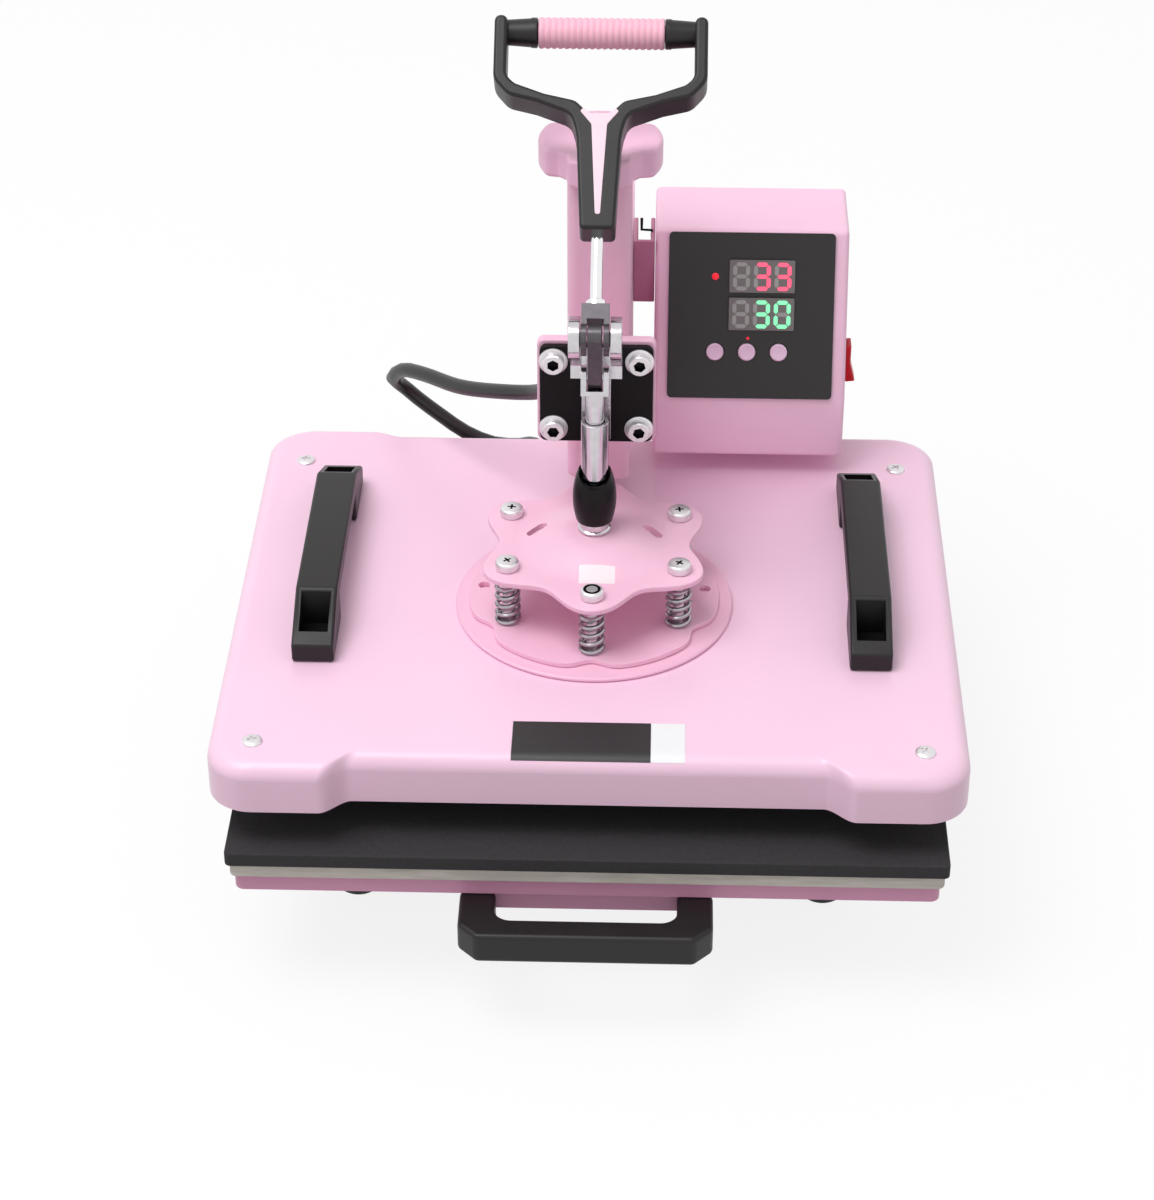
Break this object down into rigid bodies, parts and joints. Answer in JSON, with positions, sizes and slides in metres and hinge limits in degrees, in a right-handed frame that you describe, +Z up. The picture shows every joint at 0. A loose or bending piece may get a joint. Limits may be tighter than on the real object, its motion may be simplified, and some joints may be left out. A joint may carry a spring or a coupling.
{
  "type": "swing-away heat press",
  "caption": "Benchtop swing-away heat press with flat heated platen, slide-out lower plate, toggle lever, pressure knob and slanted control box.",
  "frame": {"origin": "middle of the footprint of the whole press, the free cable left out, on the table that the feet stand on", "axes": "+Z up, -Y towards the user and the way the drawer pulls out, +X to the user's right"},
  "size_m": [0.4, 0.4628, 0.4372],
  "materials": {
    "pink_paint": "smooth gloss powder coat",
    "rose_paint": "smooth gloss powder coat",
    "pink_plastic": "moulded, satin gloss",
    "black_plastic": "moulded, fine grain",
    "black_steel": "satin black coat",
    "black_rubber": "smooth",
    "chrome": "bright plated",
    "zinc": "bright zinc plated",
    "aluminium": "cast, coated face",
    "silicone": "fine matt foam",
    "fibre_board": "matt",
    "insulation": "matt felt",
    "display": "smooth window",
    "red_plastic": "gloss",
    "pink_rubber": "soft ribbed"
  },
  "bodies": {
    "base": {"base_frame": "pink_paint", "foot_front_left": "black_rubber", "foot_front_right": "black_rubber", "foot_rear_left": "black_rubber", "foot_rear_right": "black_rubber", "drawer_track": "zinc"},
    "drawer": {"drawer_tray": "rose_paint", "lower_plate": "rose_paint", "lower_board": "fibre_board", "silicone_pad": "silicone", "pull_handle": "black_plastic"},
    "arm": {"swing_arm": "pink_paint", "swing_shaft": "zinc", "control_housing": "pink_paint", "control_back_cover": "rose_paint", "mains_gland": "black_rubber", "control_bracket": "rose_paint", "control_panel": "black_plastic", "temperature_display": "display", "time_display": "display"},
    "adjuster": {"pressure_knob": "pink_plastic", "pressure_screw": "zinc"},
    "carriage": {"toggle_frame": "chrome", "toggle_base": "black_steel", "mounting_plate": "pink_paint", "carriage_block": "pink_paint", "carriage_nut": "zinc", "cable_gland": "black_rubber"},
    "lever": {"toggle_lever": "chrome", "y_handle": "black_plastic", "grip_sleeve": "pink_rubber"},
    "plunger": {"star_plate": "pink_paint", "flange_nut": "chrome", "rubber_sleeve": "black_rubber", "plunger_rod": "chrome"},
    "link": {"toggle_link": "zinc"},
    "platen": {"heating_plate": "aluminium", "insulation_blanket": "insulation", "platen_cover": "pink_paint", "ring_plate": "pink_paint", "flange_plate": "pink_paint", "spring_1": "zinc", "spring_2": "zinc", "spring_3": "zinc", "spring_4": "zinc", "spring_5": "zinc", "spring_6": "zinc", "platen_screw_1": "zinc", "platen_screw_2": "zinc", "platen_screw_3": "zinc", "platen_screw_4": "zinc", "platen_screw_5": "zinc", "platen_screw_6": "zinc", "side_handle_left": "black_plastic", "side_handle_right": "black_plastic", "heater_cable": "black_rubber"},
    "set_key": {"set_button": "pink_rubber"},
    "up_key": {"up_button": "pink_rubber"},
    "down_key": {"down_button": "pink_rubber"},
    "power_rocker": {"rocker_switch": "red_plastic"}
  },
  "joints": [
    {"name": "arm_swing", "type": "hinge", "parent": "base", "child": "arm", "pos_m": [0, 0.1934, 0.131], "axis": [0, 0, 1], "range_deg": [-180, 180]},
    {"name": "drawer_slide", "type": "slide", "parent": "base", "child": "drawer", "axis": [0, -1, 0], "range_m": [-0.026, 0.124]},
    {"name": "knob_turn", "type": "hinge", "parent": "arm", "child": "adjuster", "pos_m": [0, 0.0894, 0.36], "axis": [0, 0, 1], "range_deg": [0, 1080]},
    {"name": "carriage_lift", "type": "slide", "parent": "arm", "child": "carriage", "axis": [0, 0, 1], "range_m": [0, 0.006]},
    {"name": "lever_pull", "type": "hinge", "parent": "carriage", "child": "lever", "pos_m": [0, -0.0346, 0.3086], "axis": [1, 0, 0], "range_deg": [0, 130]},
    {"name": "plunger_slide", "type": "slide", "parent": "carriage", "child": "plunger", "axis": [0, 0, -1], "range_m": [0, 0.0174]},
    {"name": "link_swing", "type": "hinge", "parent": "plunger", "child": "link", "pos_m": [0, -0.0346, 0.28602], "axis": [-1, 0, 0], "range_deg": [0, 14.8]},
    {"name": "platen_float", "type": "slide", "parent": "plunger", "child": "platen", "axis": [0, 0, 1], "range_m": [0, 0.003], "stiffness_N_per_m": 12000, "springref_m": -0.002, "deforming": ["spring_1", "spring_2", "spring_3", "spring_4", "spring_5", "spring_6"]},
    {"name": "set_press", "type": "slide", "parent": "arm", "child": "set_key", "axis": [0, 0.9397, -0.342], "range_m": [0, 0.0015], "stiffness_N_per_m": 300},
    {"name": "up_press", "type": "slide", "parent": "arm", "child": "up_key", "axis": [0, 0.9397, -0.342], "range_m": [0, 0.0015], "stiffness_N_per_m": 300},
    {"name": "down_press", "type": "slide", "parent": "arm", "child": "down_key", "axis": [0, 0.9397, -0.342], "range_m": [0, 0.0015], "stiffness_N_per_m": 300},
    {"name": "power_rock", "type": "hinge", "parent": "arm", "child": "power_rocker", "pos_m": [0.143, 0.1254, 0.207], "axis": [0, 1, 0], "range_deg": [0, 14]}
  ],
  "couplings": [
    {"joint": "knob_turn", "follows": "carriage_lift", "rad_per_m": 3141.6},
    {"joint": "plunger_slide", "follows": "lever_pull", "m_per_rad": 0.00766},
    {"joint": "link_swing", "follows": "lever_pull", "ratio": 0.1137}
  ]
}
